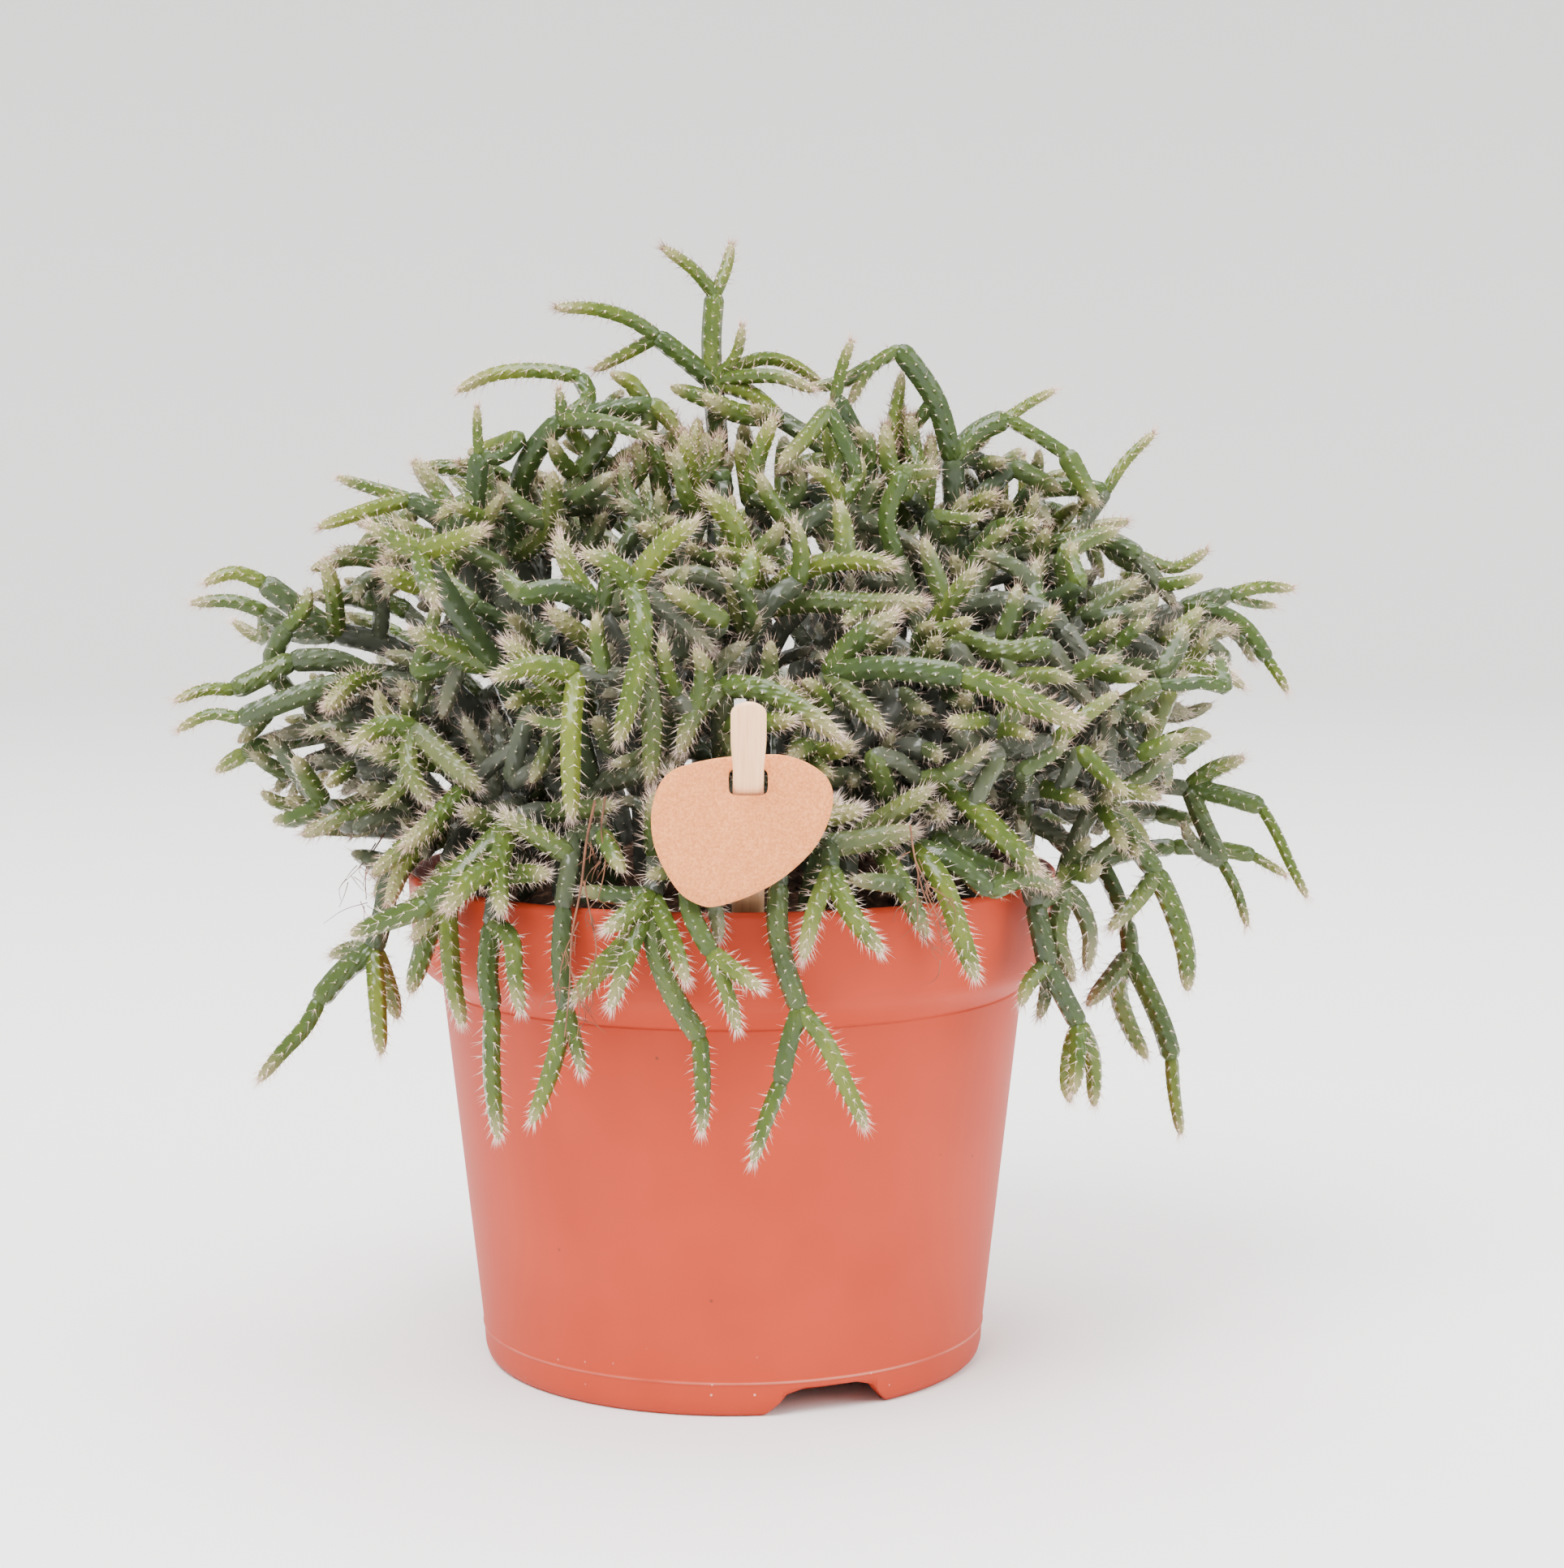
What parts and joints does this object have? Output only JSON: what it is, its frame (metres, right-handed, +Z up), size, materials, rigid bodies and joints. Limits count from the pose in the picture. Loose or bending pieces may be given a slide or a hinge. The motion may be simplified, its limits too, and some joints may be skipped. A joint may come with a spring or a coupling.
{
  "type": "potted mistletoe cactus",
  "caption": "Bushy mistletoe cactus with branching bristly stems that spill over a terracotta-coloured nursery pot, with a bare card tag on a stick.",
  "frame": {"origin": "under the middle of the object's outline, on the surface that the pot stands on", "axes": "+Z up; +X to the right of someone who faces the tag; +Y away from them"},
  "size_m": [0.211, 0.1792, 0.2088],
  "materials": {
    "pot_plastic": "satin terracotta-coloured polypropylene",
    "potting_soil": "rough dark peat with fibres",
    "cactus_stem": "waxy green skin with pale bristles",
    "kraft_card": "matt kraft board",
    "stick_wood": "bare light wood"
  },
  "bodies": {
    "root": {"pot": "pot_plastic", "soil": "potting_soil", "tag_card": "kraft_card", "tag_stick": "stick_wood", "spray_crown": "cactus_stem", "spray_arch": "cactus_stem", "spray_right_crown": "cactus_stem", "spray_right_upper": "cactus_stem", "spray_right_mid": "cactus_stem", "spray_cascade_right": "cactus_stem", "spray_cascade_outer": "cactus_stem", "spray_low_right": "cactus_stem", "spray_low_right_front": "cactus_stem", "spray_arch_front": "cactus_stem", "spray_bright_mid": "cactus_stem", "spray_diagonal": "cactus_stem", "spray_front_right": "cactus_stem", "spray_front_right_low": "cactus_stem", "spray_front_mid": "cactus_stem", "spray_hang_mid": "cactus_stem", "spray_hang_mid_left": "cactus_stem", "spray_hang_left": "cactus_stem", "spray_hang_left_two": "cactus_stem", "spray_hang_left_three": "cactus_stem", "spray_hang_left_four": "cactus_stem", "spray_left_low": "cactus_stem", "spray_left_front": "cactus_stem", "spray_left_e": "cactus_stem", "spray_left_d": "cactus_stem", "spray_left_c": "cactus_stem", "spray_left_b": "cactus_stem", "spray_left_a": "cactus_stem", "spray_left_y": "cactus_stem", "spray_left_upper": "cactus_stem", "spray_left_arch": "cactus_stem", "spray_mid_left": "cactus_stem", "spray_mid_left_low": "cactus_stem", "spray_center_front": "cactus_stem", "spray_center_back": "cactus_stem", "spray_center_top": "cactus_stem", "spray_center_low": "cactus_stem", "spray_back_1": "cactus_stem", "spray_back_2": "cactus_stem", "spray_back_3": "cactus_stem", "spray_back_4": "cactus_stem", "spray_back_5": "cactus_stem", "spray_back_6": "cactus_stem", "spray_back_7": "cactus_stem", "spray_back_8": "cactus_stem", "spray_back_9": "cactus_stem", "spray_back_10": "cactus_stem"}
  },
  "joints": []
}
